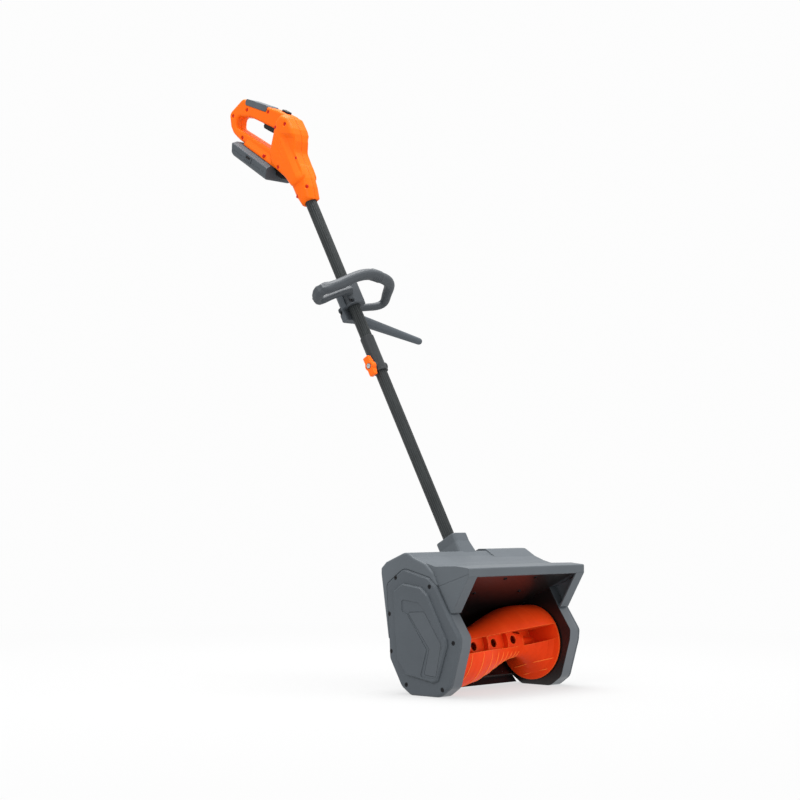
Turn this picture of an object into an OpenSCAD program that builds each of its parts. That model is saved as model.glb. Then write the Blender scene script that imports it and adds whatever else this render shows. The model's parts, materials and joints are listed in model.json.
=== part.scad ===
// Cordless snow blower: a powered scoop on a two-piece tube with a loop handle and a battery grip.
// Millimetres, +Z up, the scoop opens towards -Y and the tube leans back towards +Y.
// The origin is on the ground, in the middle of the footprint of the whole machine.

/* [Scoop] */
// Clear width between the side boxes
clear_w = 300; // [260:5:400]
// Depth of each side box, from the chamber to the cover seam
side_w = 25; // [24:1:32]
// Wall thickness of the big mouldings
wall = 3; // [2.5:0.25:3.5]
// Height of the auger axis above the ground
auger_z = 84; // [83:0.5:85]
// Distance of the auger axis in front of the middle of the footprint
auger_y = 304.8; // [250:0.1:350]
// Thickness of the rim of each cover
cover_t = 9; // [7:0.5:12]
// Height of the raised panel on each cover
panel_t = 6; // [3:0.5:8]
// How far the arch around each cover stands proud of the box
arch_t = 5; // [3:0.5:7]
// Joint gap around covers and inserts
seam = 0.6; // [0.4:0.1:1]

/* [Auger] */
// Outer radius of the auger
auger_r = 74; // [70:1:75]
// Gap between the auger and the chamber wall
tip_gap = 5; // [4:0.5:6]
// Thickness of the auger's skins, flanges and ribs
auger_wall = 3; // [2.5:0.5:4]
// Radius of the auger's waist
waist_r = 27; // [24:1:32]
// Height of the open channel across the auger
channel_h = 35; // [30:1:38]
// Spacing of the ribs in the channel
rib_pitch = 60; // [50:1:60]
// Diameter of the holes through the channel's web
web_hole_d = 17; // [10:1:20]
// Turn of the auger as it stands
rest_turn = 14; // [0:1:30]

/* [Drive] */
// Diameter of the two stub shafts
shaft_d = 12; // [10:1:14]
// Outer diameter of the auger bearings
bearing_d = 32; // [28:1:34]
// Width of the auger bearings
bearing_w = 10; // [8:0.5:10]
// Pitch radius of the auger pulley
big_pulley_r = 42; // [36:1:46]
// Pitch radius of the motor pulley
small_pulley_r = 11; // [9:1:12]
// Belt width
belt_w = 8; // [6:0.5:8]
// Belt thickness
belt_t = 2.5; // [2:0.5:3]
// Motor axis behind the auger axis
motor_y = 40; // [38:1:42]
// Motor axis above the ground
motor_z = 210; // [208:1:212]
// Motor can diameter
motor_d = 62; // [50:1:64]
// Motor can length
motor_l = 84; // [60:1:86]
// Motor shaft diameter
motor_shaft_d = 8; // [6:1:9]

/* [Tube] */
// Lean of the tube from the vertical, backwards
lean = 28.8; // [28:0.2:30]
// Tube outer diameter
tube_d = 25; // [24:0.5:26]
// Tube wall
tube_wall = 1.8; // [1.2:0.1:2.2]
// Where the tube axis crosses the head: distance behind the auger axis
tube_y = 65; // [64:0.5:66]
// Where the tube axis crosses the head: height
tube_z = 250; // [249:0.5:251]
// Distance along the tube from the head to the bottom of the coupler
coupler_s = 433; // [380:1:445]
// Length of the coupler sleeve
coupler_l = 84; // [70:1:90]
// Outer diameter of the coupler sleeve
coupler_d = 29; // [29:0.5:31]
// Distance along the tube from the head to the middle of the loop clamp
loop_s = 620; // [600:1:680]
// Distance along the tube from the head to the neck of the rear handle
handle_s = 858; // [850:1:900]

/* [Loop handle] */
// Tilt of the loop, upwards from square to the tube
loop_tilt = 13.2; // [5:0.2:20]
// Diameter of the loop's grip bar
loop_d = 24; // [20:1:26]
// Length of the clamp along the tube
clamp_l = 52; // [50:1:60]
// Reach of the barrier bar to the side
barrier_l = 172; // [120:1:180]

/* [Rear handle] */
// Half the width of the grip
grip_w = 17.5; // [17:0.5:19]
// Half the width of the body in front of the hand opening
body_w = 28.5; // [27:0.5:31]
// Half the width of the battery
battery_w = 38; // [37:0.5:42]
// Depth of the battery below its seat
battery_h = 31; // [30:0.5:36]
// Length of the battery along its seat
battery_l = 134; // [130:1:140]
// Travel of the lock-off button
button_travel = 3; // [2:0.5:3.5]
// Travel of each battery latch
latch_travel = 2.5; // [1.5:0.5:3]
// Pull of the trigger, in degrees
trigger_pull = 9; // [6:0.5:10]

/* [Hidden] */
// Half the clear width: where the side boxes begin
box_x = clear_w / 2;
// Where the covers meet the side boxes
cover_x = box_x + side_w;
// Running and assembly gaps
fit = 0.05;
gap = 0.3;
// Inner radius of the chamber and the slope where its ceiling leaves it
chamber_r = auger_r + tip_gap;
ceiling_a = 64.1;
ceiling_l = 158.5;
chamber_end_a = -55;
// Plane of the belt drive and its pulleys
pulley_x = cover_x - 5;
// Turns of the seat, the underside of the grip and its top, from the tube
seat_a = 28.6;
grip_a = 33.7;
top_a = 40.2;
// Height of the seat of the battery along the tube, and its distance behind the tube
seat_s = handle_s + 142;
seat_y = 52;
// Small screws: head radius, head height, shank radius
head_r = 3.6;
head_h = 2;
shank_r = 1.9;
tiny = 0.01;
// Screws of the motor: pitch radius and places around it
motor_screw_r = 18;
motor_screw_a = [60, 150, 240, 330];
// Lower edge of the scraper, its slope, its thickness and the height of its screws up the blade
scraper_at = [39, 3];
scraper_a = 50;
scraper_t = 3;
scraper_screw_l = 24;
// Place of the cable inside the tube, beside the knob's bolt
cable_r = 2.8;
cable_y = 6.9;
bolt_r = 3;

housing_c = [0.4, 0.42, 0.45];
handle_c = [0.95, 0.46, 0.1];
rotor_c = [0.93, 0.3, 0.12];
tube_c = [0.2, 0.22, 0.22];
black_c = [0.07, 0.07, 0.075];
steel_c = [0.6, 0.61, 0.63];

function unit(v) = v / norm(v);
function turn2(a, b) = a[0] * b[1] - a[1] * b[0];
function pt(p) = [p[0], p[1]];
function corner_r(p) = len(p) > 2 ? p[2] : 2;

// Arc that rounds the corner b between a and c, as n + 1 points
function corner(a, b, c, r, n) =
    let (u = unit(a - b),
         v = unit(c - b),
         half = acos(max(-1, min(1, u * v))) / 2)
    half > 88 ?
        [for (i = [0:n]) b + (u * (n - i) + v * i) * 0.05 / n]
    :
        let (t = min(r / tan(half), 0.48 * norm(a - b), 0.48 * norm(c - b)),
             rr = t * tan(half),
             m = b + unit(u + v) * rr / sin(half),
             s = b + u * t - m,
             sweep = (turn2(u, v) > 0 ? -1 : 1) * (180 - 2 * half))
        [for (i = [0:n]) m + [s[0] * cos(sweep * i / n) - s[1] * sin(sweep * i / n),
                              s[0] * sin(sweep * i / n) + s[1] * cos(sweep * i / n)]];

// Outline with every corner rounded; each corner is [x, y] or [x, y, radius]
function rounded(p, n = 4) =
    [for (i = [0:len(p) - 1])
        each corner(pt(p[(i + len(p) - 1) % len(p)]), pt(p[i]), pt(p[(i + 1) % len(p)]), corner_r(p[i]), n)];

// Control outline, listed anticlockwise, moved inwards by d
function inset(p, d) =
    [for (i = [0:len(p) - 1])
        let (b = pt(p[i]),
             e1 = unit(b - pt(p[(i + len(p) - 1) % len(p)])),
             e2 = unit(pt(p[(i + 1) % len(p)]) - b),
             n1 = [-e1[1], e1[0]],
             n2 = [-e2[1], e2[0]],
             q = b + (n1 + n2) * d / (1 + n1 * n2),
             r = corner_r(p[i]) + (turn2(e1, e2) > 0 ? -d : d))
        [q[0], q[1], max(0.3, r)]];

// Prism between stacked copies of one outline: levels are [height, inset]
module stacked(p, levels, n = 4) {
    rings = [for (l = levels) [for (q = rounded(inset(p, l[1]), n)) [q[0], q[1], l[0]]]];
    m = len(rings[0]);
    k = len(rings);
    polyhedron(
        points = [for (g = rings) each g],
        faces = concat(
            [[for (i = [0:m - 1]) i]],
            [[for (i = [m - 1:-1:0]) (k - 1) * m + i]],
            [for (j = [0:k - 2], i = [0:m - 1])
                [j * m + i, (j + 1) * m + i, (j + 1) * m + (i + 1) % m, j * m + (i + 1) % m]]));
}

// Levels of a prism from h0 to h1 whose top edge is rounded with radius r
function soft_top(h0, h1, r, steps = 3) =
    concat([[h0, 0]], [for (i = [0:steps]) [h1 - r + r * sin(90 * i / steps), r * (1 - cos(90 * i / steps))]]);

// Round bar swept along a path in its own plane; each station is [x, y, radius]
module swept(path, sides = 16) {
    n = len(path);
    rings = [for (i = [0:n - 1])
        let (a = pt(path[max(0, i - 1)]),
             b = pt(path[min(n - 1, i + 1)]),
             u = unit(b - a),
             v = [-u[1], u[0]])
        [for (j = [0:sides - 1])
            let (c = path[i][2] * cos(360 * j / sides),
                 h = path[i][2] * sin(360 * j / sides))
            [path[i][0] + v[0] * c, path[i][1] + v[1] * c, h]]];
    polyhedron(
        points = [for (g = rings) each g],
        faces = concat(
            [[for (j = [0:sides - 1]) j]],
            [[for (j = [sides - 1:-1:0]) (n - 1) * sides + j]],
            [for (i = [0:n - 2], j = [0:sides - 1])
                [i * sides + j, (i + 1) * sides + j, (i + 1) * sides + (j + 1) % sides, i * sides + (j + 1) % sides]]));
}

// Smooth curve through control stations, n steps between each pair
function blend3(a, b, c, d, t) =
    0.5 * ((2 * b) + (c - a) * t + (2 * a - 5 * b + 4 * c - d) * t * t + (3 * b - a - 3 * c + d) * t * t * t);
function smooth_path(p, n) =
    concat([for (i = [0:len(p) - 2], k = [0:n - 1])
        blend3(p[max(0, i - 1)], p[i], p[i + 1], p[min(len(p) - 1, i + 2)], k / n)], [p[len(p) - 1]]);

// Whole head, with the auger axis at y = 0
module machine() {
    translate([0, -auger_y, 0]) children();
}

// Side view outline (y, z) pushed along x
module along_x(x0, x1) {
    translate([x0, 0, 0]) rotate([90, 0, 90]) linear_extrude(x1 - x0) children();
}

// Solids built with their height outwards from the side at x0; side is -1 or 1
module on_side(side, x0 = 0) {
    mirror([side < 0 ? 1 : 0, 0, 0]) translate([x0, 0, 0]) rotate([90, 0, 90]) children();
}

// Frame of the tube: z runs up the tube, y points backwards and down
module on_tube(s = 0) {
    machine() translate([0, tube_y, tube_z]) rotate([-lean, 0, 0]) translate([0, 0, s]) children();
}

// Frame of the rear handle, in the measures of the tube at the shortest neck
module on_handle() {
    on_tube(handle_s - 858) children();
}

// Frame of the battery seat: z along the seat, y away from it
module on_seat() {
    on_tube(seat_s) translate([0, seat_y, 0]) rotate([-seat_a, 0, 0]) children();
}

// Frame of the trigger: z along the underside of the grip, y into the hand opening
module on_grip() {
    on_handle() translate([0, 6, 1053]) rotate([-grip_a, 0, 0]) children();
}

// Pan-head screw pointing along -z, its seat at the origin
module screw(l) {
    difference() {
        cylinder(h = head_h, r = head_r, $fn = 20);
        translate([0, 0, head_h - 1]) cylinder(h = 2, r = 1.5, $fn = 6);
    }
    translate([0, 0, -l]) cylinder(h = l + tiny, r = shank_r, $fn = 16);
}

/* Outlines of the head, seen from its side, anticlockwise */

// Side box and cover
box_outline = [
    [-46, 0, 22], [27, 0, 18], [50, 15, 20], [80, 66, 14], [84, 141, 60], [89, 206, 12],
    [45, 237, 22], [-20, 221, 16], [-37, 206, 10], [-67, 156, 30], [-97, 112, 14], [-95, 92, 10], [-73, 19, 18]];
// Raised panel on the cover
panel_outline = [
    [-47, 30, 5], [-35, 26, 5], [32, 37, 8], [56, 66, 8], [66, 193, 9],
    [42, 209, 9], [-4, 203, 9], [-22, 189, 8], [-68, 108, 6], [-70, 96, 5]];
// Chevron insert in the panel
insert_outline = [
    [-15, 41, 3], [-27, 89, 4], [27, 155, 3], [-14, 157, 4], [-56, 98, 5], [-43, 38, 3]];
// Top housing, down to its back edge
top_outline = [
    [86, 103, 1], [105, 226, 8], [105, 236, 6], [92, 248, 8], [47, 266, 16], [36, 266.5, 8], [22, 258, 10],
    [-8, 247, 12], [-30, 241.5, 20], [-80, 243, 10], [-112, 240, 3], [-112, 224, 2], [-100, 219, 2], [0, 103, 2]];
// Arch around the cover
arch_outline = [
    [86, 103, 1], [105, 226, 8], [105, 236, 6], [92, 248, 8], [47, 266, 16], [36, 266.5, 8], [22, 258, 10],
    [-8, 247, 12], [-28, 230, 10], [-39, 208, 2], [-30, 190, 4], [0, 103, 2]];
// Bulge over the motor
bulge_outline = [
    [104, 228, 4], [104, 240, 8], [86, 256, 10], [56, 270, 10], [38, 270, 10], [8, 252, 14], [-14, 240, 3], [0, 220, 3]];
// Screws of each cover
cover_screw_at = [[63, 219], [-23, 204], [-82, 102], [-55, 15], [35, 19], [79, 150], [74, 80]];
// Screws that hold the ceiling to the top housing: across, and back from its front edge
ceiling_screw_at = [[-68, 82.3], [68, 82.3], [-46, 16.8], [46, 16.8]];
// Field of the panel that frames the insert
field_outline = [
    [-46, 34, 3], [-5, 36, 4], [-21, 87, 4], [29, 153, 3], [41, 156, 3], [42, 179, 5], [-1, 174, 5], [-17, 160, 5],
    [-61, 98, 6]];
field_t = 1.2;
// Rear and front webs of the auger, either side of its middle
web_y = 25;

/* Scoop */

// Frame in the side view: x runs square to the ceiling, y runs forwards along it
module ceiling_2d() {
    translate([0, auger_z]) rotate(ceiling_a) children();
}

// Frame on the ceiling: z square to it, at a place x across and l forwards of the chamber
module on_ceiling(x, l, h) {
    machine() translate([x, 0, auger_z]) rotate([ceiling_a - 90, 0, 0]) translate([0, -l, h]) children();
}

// Frame of the scraper in the side view: x up the blade, y to the front
module scraper_2d() {
    translate(scraper_at) rotate(scraper_a) children();
}

// Frame on the back of the scraper at each of its screws: z points away from the blade
module on_scraper_screws() {
    for (x = [-2:2])
        machine() translate([x * (box_x - 30) / 2, scraper_at[0], scraper_at[1]]) rotate([scraper_a, 0, 0])
            translate([0, scraper_screw_l, -scraper_t]) rotate([180, 0, 0]) children();
}

// Points of an arc about the auger axis, from the angle a0 to a1
function arc(r, a0, a1, n = 40) =
    [for (i = [0:n]) let (a = a0 + (a1 - a0) * i / n) [r * cos(a), auger_z + r * sin(a)]];

// Curved back of the chamber, the bed of the scraper and the ledge of the top housing
module chamber_2d() {
    polygon(concat(
        arc(chamber_r, chamber_end_a, ceiling_a),
        arc(chamber_r + wall, ceiling_a, chamber_end_a)));
    scraper_2d() translate([15, fit]) square([20, wall]);
    // Ledge that carries the back of the top housing
    polygon([[78.5, 97], [84.5, 97], [86, 99], [86, 102.6], [77, 102.6]]);
}

module side_box(side) {
    on_side(side) difference() {
        union() {
            difference() {
                translate([0, 0, box_x]) linear_extrude(side_w) polygon(rounded(box_outline));
                translate([0, 0, box_x + wall]) linear_extrude(side_w) polygon(rounded(inset(box_outline, wall)));
            }
            // Bearing boss
            translate([0, auger_z, box_x]) cylinder(h = bearing_w + 3, r = bearing_d / 2 + 4, $fn = 48);
            // Screw bosses for the cover
            for (q = cover_screw_at)
                translate([q[0], q[1], box_x + tiny]) cylinder(h = side_w - 0.3, r = 4.2, $fn = 24);
        }
        translate([0, auger_z, box_x + 2]) cylinder(h = bearing_w + 4, r = bearing_d / 2 + fit, $fn = 48);
        translate([0, auger_z, box_x - 1]) cylinder(h = 6, r = shaft_d / 2 + 3, $fn = 32);
        for (q = cover_screw_at)
            translate([q[0], q[1], cover_x - 14]) cylinder(h = 15, r = shank_r + fit, $fn = 16);
    }
}

module auger_housing() {
    color(housing_c) difference() {
        union() {
            machine() along_x(-box_x - 1, box_x + 1) {
                chamber_2d();
                ceiling_2d() translate([chamber_r, 0]) square([wall, ceiling_l]);
            }
            // The ceiling runs out over the side boxes
            machine() along_x(-cover_x + wall + gap, cover_x - wall - gap) ceiling_2d()
                translate([chamber_r, 92]) square([wall, ceiling_l - 92]);
            machine() side_box(-1);
            machine() side_box(1);
        }
        // Motor nose, its screws, and the screws of ceiling and scraper
        machine() on_side(1) {
            translate([motor_y, motor_z, box_x - 1]) cylinder(h = 6, r = 12, $fn = 32);
            for (a = motor_screw_a)
                translate([motor_y + motor_screw_r * cos(a), motor_z + motor_screw_r * sin(a), box_x - 1])
                    cylinder(h = 6, r = shank_r + 0.2, $fn = 16);
        }
        for (q = ceiling_screw_at)
            on_ceiling(q[0], ceiling_l - q[1], chamber_r - 1) cylinder(h = wall + 2, r = shank_r + 0.2, $fn = 16);
        on_scraper_screws() translate([0, 0, -8]) cylinder(h = 9, r = shank_r + fit, $fn = 16);
    }
}

// Everything the top housing has to clear
module below_top() {
    machine() along_x(-box_x - 1, box_x + 1) {
        ceiling_2d() translate([-60, 0]) square([60 + chamber_r + wall + gap, ceiling_l + gap]);
        translate([0, auger_z]) circle(chamber_r + wall + gap, $fn = 96);
    }
    machine() along_x(-cover_x + wall, cover_x - wall) ceiling_2d() translate([-20, 90])
        square([20 + chamber_r + wall + gap, ceiling_l + gap - 90]);
    for (side = [-1, 1])
        machine() on_side(side, box_x - gap) linear_extrude(side_w + 40) polygon(rounded(inset(box_outline, -seam)));
}

// Front flange of each cheek, turned inwards beside the opening
module cheek_flange() {
    for (side = [-1, 1])
        machine() on_side(side, box_x) linear_extrude(side_w - wall / 2) difference() {
            polygon([[-112, 224], [-72, 156], [-69.4, 157.5], [-109.4, 225.5]]);
            polygon(rounded(inset(box_outline, -seam)));
            ceiling_2d() translate([chamber_r - gap, 0]) square([wall + 2 * gap, ceiling_l + gap]);
        }
}

module top_housing() {
    color(housing_c) difference() {
        union() {
            difference() {
                union() {
                    machine() along_x(-cover_x, cover_x) polygon(rounded(top_outline));
                    for (side = [-1, 1])
                        machine() on_side(side) stacked(arch_outline, soft_top(cover_x - 5, cover_x + arch_t, 4));
                    machine() on_side(1) stacked(bulge_outline, soft_top(52, cover_x + arch_t - 1, 4));
                    // Collar of the tube
                    on_tube(-8) stacked(
                        [[-21.5, -30, 7], [21.5, -30, 7], [21.5, 24, 10], [-21.5, 24, 10]],
                        concat([[0, -6]], soft_top(34, 52, 1.5, 2)));
                }
                machine() along_x(-cover_x + wall, cover_x - wall) polygon(rounded(inset(top_outline, wall)));
                machine() along_x(52 + wall, cover_x - wall) polygon(rounded(inset(bulge_outline, wall)));
            }
            // Cheeks of the hood
            for (side = [-1, 1])
                machine() on_side(side, cover_x - wall) linear_extrude(wall)
                    polygon(rounded([[-112, 224, 2], [-72, 156, 2], [-67, 156, 1], [-37, 208, 1], [-37, 232, 1],
                                     [-112, 232, 1]]));
            cheek_flange();
            // Posts for the ceiling screws
            intersection() {
                machine() along_x(-cover_x + 5, cover_x - 5) polygon(rounded(inset(top_outline, 1)));
                for (q = ceiling_screw_at)
                    on_ceiling(q[0], ceiling_l - q[1], chamber_r) cylinder(h = 70, r = 4.5, $fn = 24);
            }
            // Socket of the tube
            on_tube(-24) cylinder(h = 40, r = tube_d / 2 + 4, $fn = 40);
        }
        difference() {
            below_top();
            cheek_flange();
        }
        on_tube(-20) cylinder(h = 70, r = tube_d / 2 + fit, $fn = 40);
        on_tube(-30) translate([0, cable_y, 0]) cylinder(h = 20, r = cable_r + 0.4, $fn = 24);
        // Screws of the collar and the ceiling
        for (s = [8, 30])
            on_tube(s) rotate([-90, 0, 0]) {
                cylinder(h = 40, r = shank_r + fit, $fn = 16);
                translate([0, 0, 20]) cylinder(h = 20, r = head_r + 0.5, $fn = 20);
            }
        for (q = ceiling_screw_at)
            on_ceiling(q[0], ceiling_l - q[1], chamber_r) cylinder(h = 16, r = shank_r + fit, $fn = 16);
        // Seam line between the hood and its cheeks
        for (side = [-1, 1])
            machine() on_side(side, cover_x - 0.6) linear_extrude(2)
                polygon([[-113, 228.8], [-40, 204.9], [-40, 205.7], [-113, 229.6]]);
    }
}

module cover(side) {
    color(housing_c) machine() on_side(side, cover_x) difference() {
        union() {
            difference() {
                stacked(box_outline, [[0.2, 0], [cover_t - 4.5, 0], [cover_t, 4]]);
                translate([0, 0, -1]) linear_extrude(cover_t - wall + 1)
                    polygon(rounded(inset(box_outline, wall + 2.5)));
            }
            for (q = cover_screw_at)
                translate([q[0], q[1], 0.2]) cylinder(h = cover_t - 2, r = 4.8, $fn = 24);
            stacked(panel_outline, [[cover_t - 1, 0], [cover_t + panel_t - 3.5, 0.3], [cover_t + panel_t, 3]]);
        }
        translate([0, 0, cover_t + panel_t - field_t]) linear_extrude(4) polygon(rounded(field_outline));
        translate([0, 0, cover_t + panel_t - field_t - 2.2]) linear_extrude(4)
            polygon(rounded(inset(insert_outline, -seam)));
        for (q = cover_screw_at) {
            translate([q[0], q[1], cover_t - 2.4]) cylinder(h = 4, r = head_r + 0.8, $fn = 24);
            translate([q[0], q[1], -1]) cylinder(h = 20, r = shank_r + 0.2, $fn = 16);
        }
    }
}

module cover_insert(side) {
    color(housing_c) machine() on_side(side, cover_x + cover_t + panel_t - field_t - 2)
        linear_extrude(2) polygon(rounded(insert_outline));
}

module cover_screws(side) {
    color(black_c) for (q = cover_screw_at)
        machine() on_side(side, cover_x + cover_t - 2.4) translate([q[0], q[1], 0]) screw(16);
}

module end_cover() { cover(-1); }
module belt_cover() { cover(1); }
module end_insert() { cover_insert(-1); }
module belt_insert() { cover_insert(1); }
module end_cover_screws() { cover_screws(-1); }
module belt_cover_screws() { cover_screws(1); }

module hood_screws() {
    color(steel_c) for (q = ceiling_screw_at)
        on_ceiling(q[0], ceiling_l - q[1], chamber_r) rotate([180, 0, 0]) screw(12);
}

module collar_screws() {
    color(black_c) for (s = [8, 30])
        on_tube(s) rotate([-90, 0, 0]) translate([0, 0, 20]) screw(9.6);
}

module scraper_blade() {
    color(black_c) difference() {
        machine() along_x(-box_x + 1, box_x - 1) scraper_2d()
            polygon([[0, 0], [3, -scraper_t], [33, -scraper_t], [33, 0]]);
        on_scraper_screws() translate([0, 0, -8]) cylinder(h = 12, r = shank_r + 0.2, $fn = 16);
    }
}

module scraper_screws() {
    color(steel_c) on_scraper_screws() screw(5.6);
}

/* Auger */

auger_l = box_x - 7;
waist_x = 0.65 * auger_l;
flare_l = auger_l - waist_x;
channel_tilt = 0.06;

// Outer line of the upper skin, as [radius, place along the axis]
function skin_line(d) = concat(
    [for (k = [6:-1:0])
        [waist_r + (auger_r - waist_r) * (1 - cos(15 * k)) - d * cos(15 * k),
         -waist_x - flare_l * sin(15 * k) - d * sin(15 * k)]],
    [for (k = [1:16])
        let (t = k / 16)
        [waist_r + (auger_r - waist_r) * t * t * (3 - 2 * t) - d, -waist_x + t * (auger_l * 0.68 + waist_x)]],
    [[auger_r - d, auger_l + 1]]);

module auger_skin() {
    outer = skin_line(0);
    inner = skin_line(auger_wall);
    n = len(outer);
    rotate([0, 90, 0]) rotate_extrude($fn = 96)
        polygon(concat(outer, [for (i = [n - 1:-1:0]) inner[i]]));
}

module auger_fill() {
    outer = skin_line(0);
    rotate([0, 90, 0]) rotate_extrude($fn = 96)
        polygon(concat([[0, -auger_l]], outer, [[0, auger_l + 1]]));
}

// Slab across the auger that follows the tilt of the channel
module tilted_slab(z0, z1, depth = 100) {
    d = channel_tilt * (auger_l + 1);
    rotate([90, 0, 0]) translate([0, 0, -depth]) linear_extrude(2 * depth)
        polygon([[-auger_l - 1, z0 - d], [auger_l + 1, z0 + d], [auger_l + 1, z1 + d], [-auger_l - 1, z1 - d]]);
}

module auger_half() {
    flange = channel_h / 2 - auger_wall;
    intersection() {
        auger_skin();
        tilted_slab(flange, 120);
    }
    intersection() {
        auger_fill();
        tilted_slab(flange, channel_h / 2);
    }
}

module auger() {
    color(rotor_c) machine() translate([0, 0, auger_z]) rotate([-rest_turn, 0, 0]) difference() {
        union() {
            auger_half();
            rotate([0, 180, 0]) auger_half();
            intersection() {
                auger_fill();
                rotate([0, 180, 0]) auger_fill();
                union() {
                    // Two webs between the outer ribs and one beyond them
                    intersection() {
                        for (y = [-web_y, web_y])
                            translate([0, y, 0]) tilted_slab(-channel_h / 2 + 1, channel_h / 2 - 1, auger_wall / 2);
                        cube([3 * rib_pitch, 4 * web_y, 120], center = true);
                    }
                    difference() {
                        tilted_slab(-channel_h / 2 + 1, channel_h / 2 - 1, auger_wall / 2);
                        cube([3 * rib_pitch, 4 * web_y, 120], center = true);
                    }
                    intersection() {
                        for (k = [-1.5:1:1.5])
                            translate([k * rib_pitch - auger_wall / 2, -80, -60]) cube([auger_wall, 160, 120]);
                        tilted_slab(-channel_h / 2 + 1, channel_h / 2 - 1);
                    }
                }
            }
            for (side = [-1, 1])
                rotate([0, 90 * side, 0]) {
                    translate([0, 0, auger_l]) cylinder(h = auger_wall, r = auger_r, $fn = 96);
                    translate([0, 0, auger_l - 34]) cylinder(h = 36, r = shaft_d / 2 + 5, $fn = 40);
                }
        }
        for (k = [-1:1])
            translate([k * rib_pitch, 0, channel_tilt * k * rib_pitch]) rotate([90, 0, 0])
                cylinder(h = 2 * web_y + 20, r = web_hole_d / 2, center = true, $fn = 32);
        for (side = [-1, 1])
            rotate([0, 90 * side, 0]) translate([0, 0, auger_l - 30])
                cylinder(h = 60, r = shaft_d / 2 + fit, $fn = 32);
    }
}

module stub_shaft(side, end_x) {
    color(steel_c) machine() translate([0, 0, auger_z]) rotate([0, 90 * side, 0]) {
        translate([0, 0, auger_l - 29]) cylinder(h = end_x - auger_l + 29, r = shaft_d / 2, $fn = 32);
        translate([0, 0, auger_l + auger_wall + gap]) cylinder(h = 3, r = shaft_d / 2 + 2, $fn = 32);
    }
}

module idle_shaft() { stub_shaft(-1, box_x + 13); }
module drive_shaft() { stub_shaft(1, pulley_x + 9); }

module auger_bearings() {
    color(steel_c) for (side = [-1, 1])
        machine() translate([side * (box_x + 2.1), 0, auger_z]) rotate([0, 90 * side, 0]) rotate_extrude($fn = 48)
            polygon([
                [shaft_d / 2 + fit, 0], [bearing_d / 2, 0], [bearing_d / 2, bearing_w], [bearing_d / 2 - 3, bearing_w],
                [bearing_d / 2 - 3.5, bearing_w - 0.6], [shaft_d / 2 + 3.5, bearing_w - 0.6],
                [shaft_d / 2 + 3, bearing_w], [shaft_d / 2 + fit, bearing_w]]);
}

/* Drive */

// Ribbed pulley of pitch radius r on a bore of radius b, centred on its belt
module pulley(r, b) {
    h = belt_w / 2 + 0.5;
    rim = r + belt_t + 1.5;
    rotate_extrude($fn = 64)
        polygon(concat(
            [[b, -h - 1.5], [rim, -h - 1.5], [rim, -h]],
            [for (k = [0:7]) [r - (k % 2 == 0 ? gap : 1.5), -h + 0.5 + k * (2 * h - 1) / 7]],
            [[r - gap, h], [rim, h], [rim, h + 1.5], [b, h + 1.5]]));
}

module auger_pulley() {
    color(black_c) machine() translate([pulley_x, 0, auger_z]) rotate([0, 90, 0]) pulley(big_pulley_r, shaft_d / 2 + fit);
}

module motor_pulley() {
    color(steel_c) machine() translate([pulley_x, motor_y, motor_z]) rotate([0, 90, 0])
        pulley(small_pulley_r, motor_shaft_d / 2 + fit);
}

// Line of a belt round both pulleys, d outside their pitch radii
function belt_line(d) =
    let (span = [motor_y, motor_z - auger_z],
         along = atan2(span[1], span[0]),
         wrap = acos((big_pulley_r - small_pulley_r) / norm(span)),
         r1 = big_pulley_r + d,
         r2 = small_pulley_r + d)
    concat(
        [for (k = [0:30]) let (a = along + wrap + (360 - 2 * wrap) * k / 30) r1 * [cos(a), sin(a)]],
        [for (k = [0:12]) let (a = along - wrap + 2 * wrap * k / 12) span + r2 * [cos(a), sin(a)]]);

module drive_belt() {
    color(black_c) machine() translate([pulley_x - belt_w / 2, 0, auger_z]) rotate([90, 0, 90])
        linear_extrude(belt_w) difference() {
            polygon(belt_line(belt_t));
            polygon(belt_line(0));
        }
}

// Motor frame: z runs along the motor towards the belt
motor_x = box_x - 3.6;
module on_motor(x) {
    machine() translate([x, motor_y, motor_z]) rotate([0, 90, 0]) children();
}
module on_motor_screws() {
    for (a = motor_screw_a)
        translate([-motor_screw_r * sin(a), motor_screw_r * cos(a), 0]) children();
}

module motor_can() {
    color(steel_c) on_motor(motor_x - motor_l) difference() {
        union() {
            cylinder(h = motor_l, r = motor_d / 2, $fn = 64);
            translate([0, 0, motor_l - 1]) cylinder(h = 5, r = 11, $fn = 32);
        }
        translate([0, 0, -1]) cylinder(h = motor_l - 2, r = motor_d / 2 - 3, $fn = 64);
        cylinder(h = motor_l + 10, r = motor_shaft_d / 2 + fit, $fn = 32);
        for (a = [0:60:300])
            rotate(a) translate([motor_d / 2 - 8, -3, motor_l - 18]) cube([12, 6, 10]);
        on_motor_screws() translate([0, 0, motor_l - 10]) cylinder(h = 12, r = shank_r + fit, $fn = 16);
    }
}

module motor_cap() {
    color(black_c) on_motor(motor_x - motor_l - 4.1) difference() {
        union() {
            cylinder(h = 4, r = motor_d / 2, $fn = 64);
            translate([0, 0, 3]) cylinder(h = 6, r = motor_d / 2 - 3.3, $fn = 64);
            translate([0, 0, -4]) cylinder(h = 6, r = 10, $fn = 32);
        }
        translate([0, 0, -2]) cylinder(h = 20, r = motor_shaft_d / 2 + fit, $fn = 32);
        translate([0, 0, 5]) cylinder(h = 6, r = motor_d / 2 - 6, $fn = 64);
    }
}

module motor_rotor() {
    color(steel_c) on_motor(motor_x - motor_l) {
        translate([0, 0, -5]) cylinder(h = motor_l + pulley_x + 12 - motor_x, r = motor_shaft_d / 2, $fn = 32);
        translate([0, 0, 24]) cylinder(h = motor_l - 34, r = motor_d / 2 - 5, $fn = 24);
        translate([0, 0, 8]) cylinder(h = 12, r = 12, $fn = 24);
    }
}

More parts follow.
